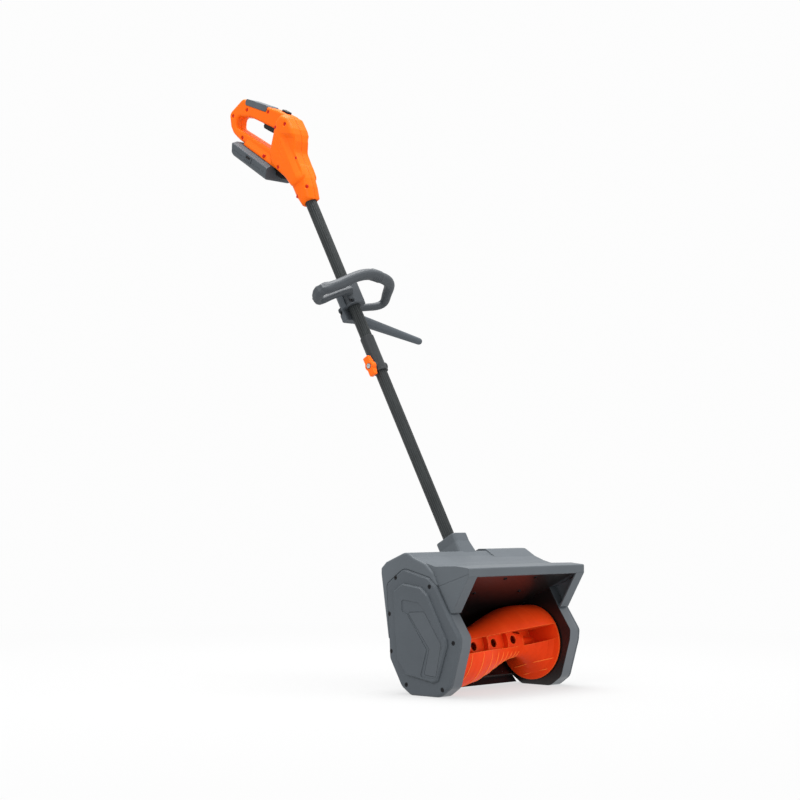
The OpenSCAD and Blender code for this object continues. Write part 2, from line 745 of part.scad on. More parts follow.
module motor_bracket() {
    color(steel_c) on_motor(motor_x + fit) difference() {
        cylinder(h = 3, r = motor_d / 2 - 1, $fn = 48);
        translate([0, 0, -1]) cylinder(h = 6, r = 11.3, $fn = 32);
        on_motor_screws() translate([0, 0, -1]) cylinder(h = 6, r = shank_r + 0.2, $fn = 16);
    }
}

module motor_screws() {
    color(steel_c) on_motor(box_x + wall) on_motor_screws() screw(14);
}

/* Tube */

handle_d = handle_s - 858;
knob_s = coupler_s + 13;

// Cross hole through the tubes for the knob's bolt
module cross_hole(s, r) {
    on_tube(s) rotate([0, 90, 0]) cylinder(h = 80, r = r, center = true, $fn = 24);
}

module lower_tube() {
    color(tube_c) difference() {
        on_tube(-19.8) cylinder(h = 19.8 + coupler_s + coupler_l / 2, r = tube_d / 2, $fn = 48);
        on_tube(-30) cylinder(h = 1000, r = tube_d / 2 - tube_wall, $fn = 48);
        cross_hole(knob_s, bolt_r + 0.08);
        for (s = [8, 30])
            on_tube(s) rotate([-90, 0, 0]) cylinder(h = 40, r = shank_r + 0.2, $fn = 16);
    }
}

module upper_tube() {
    color(tube_c) difference() {
        on_tube(coupler_s + coupler_l / 2 + 0.4)
            cylinder(h = handle_s + 70 - coupler_s - coupler_l / 2, r = tube_d / 2, $fn = 48);
        on_tube(-30) cylinder(h = 1200, r = tube_d / 2 - tube_wall, $fn = 48);
    }
}

module coupler() {
    color(tube_c) difference() {
        union() {
            on_tube(coupler_s) {
                cylinder(h = coupler_l - 1, r = coupler_d / 2, $fn = 48);
                translate([0, 0, coupler_l - 1.01])
                    cylinder(h = 1, r1 = coupler_d / 2, r2 = coupler_d / 2 - 0.8, $fn = 48);
                cylinder(h = 4, r = coupler_d / 2 + 1.2, $fn = 48);
            }
            // Flat pads for the knob and its nut
            on_tube(knob_s) rotate([0, 90, 0]) cylinder(h = coupler_d + 5, r = 10, center = true, $fn = 32);
        }
        on_tube(coupler_s - 5) cylinder(h = coupler_l + 10, r = tube_d / 2 + fit, $fn = 48);
        cross_hole(knob_s, bolt_r + 0.08);
        on_tube(knob_s) translate([coupler_d / 2 + 2.5 - 3, 0, 0]) rotate([0, 90, 0]) cylinder(h = 6, r = 6, $fn = 6);
    }
}

// Frame of the knob: z points outwards along its bolt
module on_knob(x = 0) {
    on_tube(knob_s) rotate([0, -90, 0]) translate([0, 0, coupler_d / 2 + 2.5 + gap + x]) children();
}

module wing_knob() {
    color(handle_c) on_knob() difference() {
        union() {
            cylinder(h = 12.6, r = 10, $fn = 40);
            // Two wings, in line with the tube, thinner towards their tips
            intersection() {
                rotate([90, 0, 0]) linear_extrude(16, center = true) polygon(rounded(
                    [[-22, 4, 1.5], [-9, 0.2, 2], [9, 0.2, 2], [22, 4, 1.5], [22, 13, 2.5], [-22, 13, 2.5]]));
                linear_extrude(14) polygon(rounded([[-23, -6.8, 3], [23, -6.8, 3], [23, 6.8, 3], [-23, 6.8, 3]]));
            }
        }
        translate([0, 0, -1]) cylinder(h = 20, r = bolt_r + fit, $fn = 24);
        translate([0, 0, 8.5]) cylinder(h = 8, r = 6.3, $fn = 32);
    }
}

module knob_bolt() {
    color(steel_c) on_knob(8.5) difference() {
        union() {
            translate([0, 0, 0.1]) cylinder(h = 5, r = 5.5, $fn = 6);
            translate([0, 0, 0.1 - coupler_d - 16]) cylinder(h = coupler_d + 16.2, r = bolt_r, $fn = 24);
        }
        translate([0, 0, 4]) cylinder(h = 3, r = 2.6, $fn = 6);
    }
}

module knob_nut() {
    color(steel_c) on_tube(knob_s) translate([coupler_d / 2 - 0.4, 0, 0]) rotate([0, 90, 0]) difference() {
        cylinder(h = 4.8, r = 5.6, $fn = 6);
        translate([0, 0, -1]) cylinder(h = 8, r = bolt_r + fit, $fn = 24);
    }
}

/* Loop handle */

// Frame of the loop: x across, y forwards and up in its plane
module on_loop() {
    on_tube(loop_s) rotate([180 - loop_tilt, 0, 0]) children();
}

r_loop = loop_d / 2;
// Middle line of the grip, from the front clamp round to the back clamp
loop_path = smooth_path([
    [-12, 19, 8], [-32, 14, 7.5], [-62, 3, 7.5], [-88, -7, 8.5], [-106, -2, 10], [-112, 18, r_loop],
    [-96, 29, r_loop], [-66, 39, r_loop], [-38, 53, r_loop], [-12, 62, r_loop], [16, 64, r_loop], [44, 60, r_loop],
    [72, 53, r_loop], [90, 40, r_loop - 0.5], [101, 16, 10.5], [110, -6, 9.5], [98, -19, 8.5], [62, -27, 8],
    [30, -35, 8], [10, -39, 8]], 3);

module clamp_screw_holes(r) {
    for (x = [-1, 1], s = [-1, 1])
        on_tube(loop_s + s * (clamp_l / 2 - 6)) translate([x * 18.5, 0, 0]) rotate([90, 0, 0])
            cylinder(h = 80, r = r, center = true, $fn = 16);
}

module loop_handle() {
    color(housing_c) difference() {
        union() {
            on_loop() swept(loop_path);
            loop_ribs();
            // Front half of the clamp
            on_tube(loop_s - clamp_l / 2) translate([0, 0, 0]) rotate([0, 0, 180]) stacked(
                [[-24, 0.6, 1], [24, 0.6, 1], [24, 14, 5], [14, 20, 8], [-14, 20, 8], [-24, 14, 5]],
                concat([[0, 1.5], [1.5, 0]], soft_top(2, clamp_l, 1.5, 2)));
        }
        on_tube(loop_s - 60) cylinder(h = 120, r = tube_d / 2 + fit, $fn = 48);
        clamp_screw_holes(shank_r + 0.2);
        for (x = [-1, 1], s = [-1, 1])
            on_tube(loop_s + s * (clamp_l / 2 - 6)) translate([x * 18.5, -12, 0]) rotate([90, 0, 0])
                cylinder(h = 30, r = head_r + 0.5, $fn = 20);
        // The back leg stops short of the back half of the clamp
        on_tube(loop_s - 60) translate([-30, 0.3, 0]) cube([55, 23.5, 120]);
    }
}

// Ribs round the crown of the loop
module loop_ribs() {
    on_loop() for (k = [0:4])
        translate([18 + 6 * k, 64.1 - 0.7 * k - 0.06 * k * k, 0]) rotate([0, 90, -6 - 1.5 * k]) rotate_extrude($fn = 32)
            polygon([[2, -1.6], [r_loop + 0.8, -1.6], [r_loop + 1.2, 0], [r_loop + 0.8, 1.6], [2, 1.6]]);
}

module loop_clamp() {
    color(housing_c) difference() {
        union() {
            on_tube(loop_s - clamp_l / 2) stacked(
                [[-24, 0.6, 1], [24, 0.6, 1], [24, 14, 5], [16, 23.5, 7], [-16, 23.5, 7], [-24, 14, 5]],
                concat([[0, 1.5], [1.5, 0]], soft_top(2, clamp_l, 1.5, 2)));
            // Arm down to the barrier bar
            on_tube(loop_s - clamp_l / 2 - 24) stacked(
                [[-20, 14.5, 3], [14, 14.5, 3], [14, 30, 5], [-20, 30, 5]],
                concat([[0, 1.5], [1.5, 0]], soft_top(2, 32, 1.5, 2)));
        }
        on_tube(loop_s - 80) cylinder(h = 140, r = tube_d / 2 + fit, $fn = 48);
        clamp_screw_holes(shank_r + fit);
        on_bar() translate([0, 0, -24]) cylinder(h = 80, r = 6 + fit, $fn = 32);
        on_bar() translate([0, 0, 5]) cylinder(h = 80, r = 12.5, $fn = 32);
        on_bar() translate([0, 0, -42]) cylinder(h = 20, r = head_r + 2.9, $fn = 32);
    }
}

module clamp_screws() {
    color(black_c) for (x = [-1, 1], s = [-1, 1])
        on_tube(loop_s + s * (clamp_l / 2 - 6)) translate([x * 18.5, -12, 0]) rotate([90, 0, 0]) screw(24);
}

// Frame of the barrier bar: z runs along the bar
module on_bar() {
    on_tube(loop_s - clamp_l / 2 - 12) translate([8, 22, 0]) rotate([0, 109.5, -5.8]) children();
}

module barrier_bar() {
    color(housing_c) on_bar() {
        // Spigot, tapered bar and end ball
        translate([0, 0, -22]) cylinder(h = 28, r = 6, $fn = 32);
        rotate_extrude($fn = 40)
            polygon(concat(
                [[0, 6], [11.2, 6], [12, 7.5]],
                [for (k = [0:3]) [7.4 * cos(22.5 * k), barrier_l - 7.4 + 7.4 * sin(22.5 * k)]],
                [[0, barrier_l - 7.4 + 7.4 * sin(67.5)]]));
    }
}

module barrier_screw() {
    color(black_c) on_bar() translate([0, 0, -22.1]) rotate([180, 0, 0]) cylinder(h = 2.4, r = head_r + 2.6, $fn = 24);
}

/* Rear handle */

// Outlines in the frame of the tube: behind it and along it, anticlockwise
neck_outline = [
    [-15.5, 858, 1], [15.5, 858, 1], [20.5, 884, 16], [21, 927, 20], [36, 962, 20], [-30, 962, 20], [-30, 930, 20],
    [-23, 885, 20]];
body_outline = [
    [14, 905, 10], [22, 938, 16], [43, 985, 14], [36, 1012, 12], [6, 1042, 12], [-14, 1062, 10], [-34, 1066, 10],
    [-47, 1048, 12], [-48, 1018, 20], [-43, 990, 16], [-33, 968, 16], [-31, 935, 30], [-24, 905, 12]];
grip_outline = [
    [34.5, 969, 8], [105.5, 1100, 10], [110, 1111, 8], [115.5, 1127, 8], [115.5, 1144, 12], [105, 1173, 14], [53, 1176, 14],
    [-25, 1085, 10], [-46, 1054, 10], [-44, 1018, 20], [-34, 980, 20], [-24, 950, 12]];
opening_outline = [
    [27, 1012, 10], [101, 1133, 9], [87, 1152, 9], [54, 1125, 14], [-4, 1046, 9]];
saddle_outline = [[6.9, 1103.6, 3], [51.5, 1156.6, 3], [44, 1168.5, 5], [-4, 1112, 5]];
handle_screw_at = [
    [97, 1160, 0], [54, 1145, 0], [2, 1100, 0], [-36, 1037, 1], [-8, 1049, 1], [96, 1099, 0], [52, 1016, 1],
    [26, 967, 1], [-27, 957, 1], [-18.5, 886, 2], [16, 884, 2]];
// Height of the outer face at each of the three zones
zone_w = [grip_w, body_w, tube_d / 2 + 5.5];

// Half of the handle, pushed outwards to the side of +x
module shell_solid() {
    on_handle() rotate([90, 0, 90]) {
        difference() {
            stacked(grip_outline, soft_top(0, grip_w, 6));
            stacked(opening_outline, [[-1, 0], [grip_w - 5, 0], [grip_w - 2, -1.2], [grip_w + 0.1, -4.5], [grip_w + 9, -5]]);
        }
        stacked(body_outline, concat(soft_top(0, body_w - 0.4, 9, 4), [[body_w, 16]]));
        stacked(neck_outline, soft_top(0, tube_d / 2 + 7, 12, 4));
    }
    // Seat of the battery with its tongue
    on_seat() translate([0, 0, -30]) linear_extrude(battery_l - 16)
        polygon([[0, -16], [17, -16], [24, -5], [24, 0], [9, 0], [9, 3], [14, 3], [14, 7], [0, 7]]);
    on_seat() translate([0, -12, -52]) cube([15, 26, 22]);
}

module shell_hollow() {
    // Chamber for the trigger, the switch and the lock-off button
    on_grip() translate([-12, -40, -9]) cube([24, 34, 58]);
    on_grip() translate([-7.2, -8, 1.5]) cube([14.4, 20, 50]);
    on_grip() translate([-7.2, -60, -13.2]) cube([14.4, 27, 21.7]);
    on_grip() translate([0, -3, 42.5]) rotate([0, 90, 0]) cylinder(h = 24.4, r = 2 + fit, center = true, $fn = 24);
    // Way for the cable down to the tube and the battery
    on_handle() translate([-8, -20, 920]) cube([16, 18, 120]);
    on_handle() translate([-8, -8, 940]) cube([16, 34, 40]);
    on_tube(handle_s - 5) cylinder(h = 76, r = tube_d / 2 + fit, $fn = 48);
}

// Recess of the grip saddle
module saddle_seat() {
    difference() {
        on_handle() rotate([90, 0, 90]) translate([0, 0, -30]) linear_extrude(60)
            polygon(rounded(inset(saddle_outline, -gap)));
        on_handle() rotate([90, 0, 90]) translate([0, 0, -grip_w + 3 + gap])
            linear_extrude(2 * (grip_w - 3 - gap)) polygon(rounded(inset(saddle_inner(), 0)));
    }
}

// Part of the grip that stays under the saddle
function saddle_inner() =
    [for (q = saddle_outline) [q[0] + 0.763 * (3 + gap), q[1] - 0.646 * (3 + gap), 4]];

module handle_screw_holes(side) {
    for (q = handle_screw_at)
        on_handle() translate([0, q[0], q[1]]) rotate([0, -90, 0]) {
            if (side < 0) {
                translate([0, 0, zone_w[q[2]] - 4]) cylinder(h = 30, r = head_r + 0.7, $fn = 20);
                translate([0, 0, -1]) cylinder(h = 40, r = shank_r + 0.2, $fn = 16);
            }
            else {
                translate([0, 0, -9]) cylinder(h = 12, r = shank_r + fit, $fn = 16);
            }
        }
}

module handle_shell(side) {
    color(handle_c) difference() {
        mirror([side < 0 ? 1 : 0, 0, 0]) difference() {
            shell_solid();
            translate([-50 + fit / 2, -500, 500]) cube([50, 2000, 1500]);
        }
        shell_hollow();
        saddle_seat();
        handle_screw_holes(side);
        // Guide of the lock-off button and the seats of the terminals
        on_seat() translate([-8.3, -6, -47]) cube([16.6, 12.5, 19]);
        // Vents beside the hand opening
        for (k = [0:4])
            on_handle() translate([side * (body_w - 2), -20 + 8.5 * k, 1013 - 9.5 * k]) rotate([-48, 0, 0])
                translate([-2, -1.6, -13]) cube([6, 3.2, 26]);
    }
}

module handle_left() { handle_shell(-1); }
module handle_right() { handle_shell(1); }

module grip_saddle() {
    color(housing_c) difference() {
        on_handle() rotate([90, 0, 90]) translate([0, 0, -grip_w - 0.6])
            linear_extrude(2 * grip_w + 1.2) polygon(rounded(saddle_outline));
        on_handle() rotate([90, 0, 90]) translate([0, 0, -grip_w + 3])
            linear_extrude(2 * grip_w - 6) polygon(rounded(inset(saddle_inner(), -gap)));
    }
}

module handle_screws() {
    color(black_c) for (q = handle_screw_at)
        on_handle() translate([-zone_w[q[2]] + 4, q[0], q[1]]) rotate([0, -90, 0]) screw(zone_w[q[2]] + 3);
}

/* Controls */

module trigger() {
    color(black_c) on_grip() difference() {
        translate([-6.5, 0, 0]) rotate([90, 0, 90]) linear_extrude(13)
            polygon(rounded([[-6, 5, 2], [6, 6, 3], [10.5, 13, 6], [12, 28, 14], [8, 42, 5], [1, 46.5, 3], [-7, 46.5, 3],
                             [-7, 36, 2]]));
        translate([0, -3, 42.5]) rotate([0, 90, 0]) cylinder(h = 40, r = 2 + fit, center = true, $fn = 24);
    }
}

module trigger_pin() {
    color(steel_c) on_grip() translate([0, -3, 42.5]) rotate([0, 90, 0]) cylinder(h = 24, r = 2, center = true, $fn = 24);
}

module power_switch() {
    color(black_c) on_grip() {
        translate([-11.7, -24, 8]) cube([23.4, 12, 28]);
        translate([-3, -12.1, 12]) cube([6, 0.7, 8]);
    }
}

module lock_button() {
    color(black_c) on_grip() translate([0, -48, -2.5]) {
        translate([-6.5, 0, -9.8]) rotate([0, 0, 0]) stacked(
            [[0, 0, 1.5], [13, 0, 1.5], [13, 12, 1], [0, 12, 1]], [[0, 1], [1, 0], [18.6, 0], [19.6, 1]]);
    }
}

module controller() {
    color(black_c) on_handle() translate([-7.7, -18, 990]) cube([15.4, 12, 42]);
}

module terminals() {
    color(steel_c) on_seat() {
        translate([-8, -5, -39]) cube([16, 10, 8.5]);
        for (x = [-5.5, 0, 5.5])
            translate([x - 0.5, -3.5, -31]) cube([1, 2.8, 3]);
        for (x = [-5.5, 5.5])
            translate([x - 0.6, 0, -46]) cube([1.2, 6, 8]);
    }
}

module power_cable() {
    color(black_c) {
        on_tube(-26) translate([0, cable_y, 0]) cylinder(h = handle_s + 90, r = cable_r, $fn = 20);
    }
}

/* Battery */

// Side view of the battery in its seat's frame: away from the seat and along it
battery_side = [
    [0.4, -20, 2], [battery_h, -31, 4], [battery_h, battery_l - 38, 5], [8, battery_l - 25, 4], [0.4, battery_l - 27, 3]];

module battery_solid() {
    intersection() {
        on_seat() translate([0, 0, -40]) stacked(
            [[-26, 0.4, 2], [-battery_w, 7, 3], [-battery_w, battery_h - 6, 4], [-battery_w + 6, battery_h, 4],
             [battery_w - 6, battery_h, 4], [battery_w, battery_h - 6, 4], [battery_w, 7, 3], [26, 0.4, 2]],
            [[battery_l + 30, 0], [0, 0]]);
        on_seat() along_x(-battery_w - 5, battery_w + 5) polygon(rounded(battery_side));
    }
}

module battery_case() {
    color(housing_c) difference() {
        battery_solid();
        // Groove of the tongue, open at the front
        on_seat() translate([0, 0, -60]) linear_extrude(battery_l + 15)
            polygon([[-9.3, -2], [9.3, -2], [9.3, 2.7], [14.4, 2.7], [14.4, 7.4], [-14.4, 7.4], [-14.4, 2.7], [-9.3, 2.7]]);
        on_seat() translate([-16, -2, -60]) cube([32, 17, 30.3]);
        // Pockets of the cells and the latches
        on_seat() translate([-battery_w + 6.6, 10.9, -22]) cube([2 * battery_w - 13.2, 15.4, battery_l - 26]);
        for (side = [-1, 1])
            on_seat() translate([side * (battery_w - 2) - 3.4, 10.9, 30.7]) cube([6.8, 11.6, 24.6]);
        // Seam of the case
        for (side = [-1, 1])
            on_seat() translate([side * battery_w - 0.6, 17.6, -40]) cube([1.2, 0.8, battery_l + 20]);
    }
}

module battery_cells() {
    color(handle_c) on_seat() for (k = [-1.5:1:1.5])
        translate([k * 15.4, 18.6, -21.7]) cylinder(h = battery_l - 26.6, r = 7.4, $fn = 24);
}

module battery_latch(side) {
    color(black_c) on_seat() mirror([side < 0 ? 1 : 0, 0, 0]) translate([battery_w - 2.5, 11.2, 31])
        difference() {
            cube([3.7, 11, 24]);
            for (k = [0:3])
                translate([3.1, -1, 4 + 5 * k]) cube([2, 14, 1.4]);
        }
}

module battery_latch_left() { battery_latch(-1); }
module battery_latch_right() { battery_latch(1); }

/* [Hidden] */

auger_housing();
top_housing();
end_cover();
belt_cover();
end_insert();
belt_insert();
end_cover_screws();
belt_cover_screws();
hood_screws();
collar_screws();
scraper_blade();
scraper_screws();
auger();
idle_shaft();
drive_shaft();
auger_bearings();
auger_pulley();
drive_belt();
motor_pulley();
motor_can();
motor_cap();
motor_rotor();
motor_bracket();
motor_screws();
lower_tube();
coupler();
wing_knob();
knob_bolt();
knob_nut();
upper_tube();
loop_handle();
loop_clamp();
clamp_screws();
barrier_bar();
barrier_screw();
handle_left();
handle_right();
grip_saddle();
handle_screws();
trigger();
trigger_pin();
power_switch();
lock_button();
controller();
terminals();
power_cable();
battery_case();
battery_cells();
battery_latch_left();
battery_latch_right();
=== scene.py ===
"""Cordless snow blower: finishes, corrected shells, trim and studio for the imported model."""
import json
from math import cos, radians, sin

import bmesh
import bpy
import numpy as np
from mathutils import Matrix, Vector


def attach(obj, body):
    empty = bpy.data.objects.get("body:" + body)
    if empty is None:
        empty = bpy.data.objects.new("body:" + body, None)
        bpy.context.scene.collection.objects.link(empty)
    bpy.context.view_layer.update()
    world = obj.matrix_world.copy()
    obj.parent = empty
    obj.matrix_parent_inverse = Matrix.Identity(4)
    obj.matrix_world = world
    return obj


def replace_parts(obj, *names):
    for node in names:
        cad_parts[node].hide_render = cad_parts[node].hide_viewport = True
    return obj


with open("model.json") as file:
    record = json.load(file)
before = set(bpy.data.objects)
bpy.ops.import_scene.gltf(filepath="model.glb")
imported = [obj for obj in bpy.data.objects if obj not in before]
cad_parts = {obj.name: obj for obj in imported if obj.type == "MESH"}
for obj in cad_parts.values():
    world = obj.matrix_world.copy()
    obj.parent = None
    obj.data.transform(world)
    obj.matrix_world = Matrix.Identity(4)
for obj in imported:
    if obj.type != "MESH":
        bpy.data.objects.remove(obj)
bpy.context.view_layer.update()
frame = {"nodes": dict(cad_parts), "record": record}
nodes = frame["nodes"]
bodies = frame["record"]["behaviour"]["bodies"]


# ---------------------------------------------------------------- places, in metres

# Auger: its axis and its turn at rest, half the width between the walls of the scoop, half its own length,
# its radius, the radius and place of its waist, where its lower skin is at full radius again, and the
# height of the channel across it
AUGER_AT = np.array((0, -0.3048, 0.084))
AUGER_TURN = radians(14)
SIDE_X = 0.150
AUGER_L = SIDE_X - 0.007
AUGER_R = 0.074
WAIST_R, WAIST_X = 0.027, 0.65 * AUGER_L
FULL_X = -0.68 * AUGER_L
CHANNEL_H = 0.035

# Tube: the foot of its axis and its lean. Places on it are x across, y behind and s along it
TUBE_FOOT = np.array((0, AUGER_AT[1] + 0.065, 0.250))
LEAN = radians(28.8)

# Loop handle: its place and tilt, the core line of its outer end in the loop's own plane, how far from that
# line the end reaches, and its shift
LOOP_S, LOOP_TILT = 0.620, radians(13.2)
LOOP_END_X, LOOP_END_SPAN, LOOP_END_OFF = -0.1014, (-0.0186, 0.0110), -0.0082
LOOP_END_REACH = 0.016
LOOP_END_SHIFT = np.array((0.0125, 0, -0.011))

# Spacer bar: its root, its line, how far from the root it stays as it is, and the stretch of the rest
BAR_ROOT = np.array((0.008, 0.022, LOOP_S - 0.026 - 0.012))
BAR_DROP, BAR_SWING = radians(109.5), radians(-5.8)
BAR_HOLD, BAR_STRETCH = 0.020, 0.055

# Rear handle: its seat for the battery, its grip, and half the width of its inner and outer walls
SEAT_Y, SEAT_S, SEAT_TURN = 0.052, 1.000, radians(28.6)
GRIP_Y, GRIP_S, GRIP_TURN = 0.006, 1.053, radians(33.7)
WALL_X, BODY_X = 0.018, 0.0285

# Waist of the rear handle: the falling line below the belly, the edge in front of the vents, the width of
# the bands over which it draws in, the share of the wall that it loses, and how far its front goes back
BELLY_Y, BELLY_S, BELLY_FALL = -0.027, 1.019, 0.75
VENT_Y = -0.010
BAND = 0.012
DRAW_IN, DRAW_BACK = 0.72, 0.006

# Vents beside the hand opening: the block behind them by its place, turn, half sizes and depths in the wall,
# then each groove's y and its two ends along the tube, and their slant, half width, depth and run-out
BLOCK_Y, BLOCK_S, BLOCK_TURN = -0.003, 0.994, radians(48)
BLOCK_HALF, BLOCK_DEPTHS = (0.0135, 0.0275), (0.0026, 0.0003)
GROOVES = ((-0.0045, 1.000, 1.034), (0.0025, 0.989, 1.030), (0.0095, 0.979, 1.025))
GROOVE_SLANT, GROOVE_MIDDLE = 0.10, 1.015
GROOVE_HALF, GROOVE_DEPTH, GROOVE_END = 0.0018, 0.0009, 0.003

# Ledge under the lock-off button: half its width, its place in the grip's own frame, and how far it sinks
LEDGE_X, LEDGE_DOWN, LEDGE_ALONG = 0.0085, -0.033, -0.0107
LEDGE_SINK = 0.0004

# Trigger: the level of its finger face, the share of depth kept past it, and how far its toe goes out
FACE_DOWN, FACE_KEEP = 0.0082, 0.12
TOE_OUT = 0.002

# Small faces of the even meshes
EVEN, EVEN_BAR, EVEN_TRIGGER, EVEN_SCREW = 0.0012, 0.001, 0.0005, 0.0004

# Fine ribs of the auger: radius and sides of a bead, then the arcs' number, distance from the waist, spread,
# share of the way to the channel and points, then the level lines' heights, lift off the flare and points
BEAD_R, BEAD_SIDES = 0.0010, 8
ARCS, ARC_GAP, ARC_SPREAD, ARC_SHARE, ARC_POINTS = 9, 0.012, 0.200, 0.97, 25
LEVELS, LEVEL_LIFT, LEVEL_POINTS, LEVEL_STEP = (-0.042, -0.060), 0.0006, 400, 8


def turned(a, b, angle):
    """Places on two axes, turned by an angle: numbers, arrays or wires."""
    return a * cos(angle) - b * sin(angle), a * sin(angle) + b * cos(angle)


def to_tube(points):
    """Across, behind and along the tube: the world turned about x by the lean, from the foot of the tube."""
    x, y, z = (points - TUBE_FOOT).T
    return np.stack((x, *turned(y, z, LEAN)), 1)


def from_tube(points):
    """The way back from to_tube."""
    x, y, s = points.T
    return TUBE_FOOT + np.stack((x, *turned(y, s, -LEAN)), 1)


def from_auger(points):
    """Places on the auger, whose rest pose is turned about its own axis."""
    x, y, z = points.T
    return AUGER_AT + np.stack((x, *turned(y, z, -AUGER_TURN)), 1)


def to_grip(y, s):
    """Down from the grip's line and along it, from places behind and along the tube."""
    return turned(y - GRIP_Y, s - GRIP_S, GRIP_TURN)


def from_grip(down, along):
    """The way back from to_grip."""
    y, s = turned(down, along, -GRIP_TURN)
    return GRIP_Y + y, GRIP_S + s


def ramp(value, low, high):
    """0 below low, 1 above high, with a straight line between."""
    return np.clip((value - low) / (high - low), 0, 1)


# ---------------------------------------------------------------- studio

# Camera: its place, its turn from the front, its tilt, and its lens in millimetres
EYE = (-2.8377, -2.6972, 0.350)
EYE_TURN, EYE_TILT = radians(-47.363), radians(-3.265)
LENS = 85.5

# Soft lights: place, aim, width and height in metres, and power in watts
LIGHTS = {
    "key_light": ((0.6, -3.4, 0.25), (0, -0.2, 0.25), (1.4, 0.4), 22),
    "top_light": ((0.3, 0.2, 3.6), (0, -0.1, 0.3), (2.0, 2.0), 150),
    "side_light": ((-3.0, -1.0, 2.2), (0, -0.1, 0.5), (1.4, 1.8), 36),
}

# Floor: half its side, the distances between which it fades into the white around, its colour where it
# takes a shadow, and the glow there and further off
FLOOR_HALF = 12
FLOOR_NEAR, FLOOR_FAR = 0.45, 2.0
FLOOR_PALE, NEAR_GLOW, WHITE_GLOW = 0.18, 0.63, 0.98


def placed(name, data):
    """New object of the scene that holds a mesh, a lamp or a camera."""
    made = bpy.data.objects.new(name, data)
    bpy.context.scene.collection.objects.link(made)
    return made


def camera():
    """Level-eyed view onto the open scoop from the front left."""
    back = Vector((sin(EYE_TURN) * cos(EYE_TILT), -cos(EYE_TURN) * cos(EYE_TILT), sin(EYE_TILT)))
    right = Vector((cos(EYE_TURN), sin(EYE_TURN), 0))
    view = Matrix((right, back.cross(right), back)).transposed().to_4x4()
    view.translation = EYE
    data = bpy.data.cameras.new("studio_camera")
    data.sensor_width = 36
    data.lens = LENS
    data.clip_end = 60
    eye = placed("studio_camera", data)
    eye.matrix_world = view
    bpy.context.scene.camera = eye


def softbox(name, at, aim, size, power):
    """Oblong area light at a place, turned towards its aim."""
    data = bpy.data.lights.new(name, "AREA")
    data.shape = "RECTANGLE"
    data.size, data.size_y = size
    data.energy = power
    lamp = placed(name, data)
    lamp.location = at
    lamp.rotation_euler = (Vector(aim) - Vector(at)).to_track_quat("-Z", "Y").to_euler()


def world_glow(strength):
    """Even white surroundings, with colours shown as they are lit."""
    world = bpy.data.worlds.new("studio")
    world.use_nodes = True
    sky = world.node_tree.nodes["Background"]
    sky.inputs["Color"].default_value = rgba((1, 1, 1))
    sky.inputs["Strength"].default_value = strength
    bpy.context.scene.world = world
    bpy.context.scene.view_settings.view_transform = "Standard"


# ---------------------------------------------------------------- shader words

class Wire:
    """A socket that can stand in a sum: each operator adds its own Math node."""

    def __init__(self, finish, socket):
        self.finish, self.socket = finish, socket

    def _math(self, word, a, b=0.0):
        return self.finish.wire("ShaderNodeMath", {"operation": word}, {0: a, 1: b})

    def __add__(self, b): return self._math("ADD", self, b)
    def __radd__(self, a): return self._math("ADD", a, self)
    def __sub__(self, b): return self._math("SUBTRACT", self, b)
    def __rsub__(self, a): return self._math("SUBTRACT", a, self)
    def __mul__(self, b): return self._math("MULTIPLY", self, b)
    def __rmul__(self, a): return self._math("MULTIPLY", a, self)
    def __pow__(self, b): return self._math("POWER", self, b)
    def __abs__(self): return self._math("ABSOLUTE", self)

    def sine(self): return self._math("SINE", self)
    def angle(self, b): return self._math("ARCTAN2", self, b)
    def clamp(self): return self.step(0, 1)

    def step(self, low, high):
        """0 below low, 1 above high, with a straight line between."""
        return self.finish.wire("ShaderNodeMapRange", {"clamp": True},
                                {"Value": self, "From Min": low, "From Max": high})


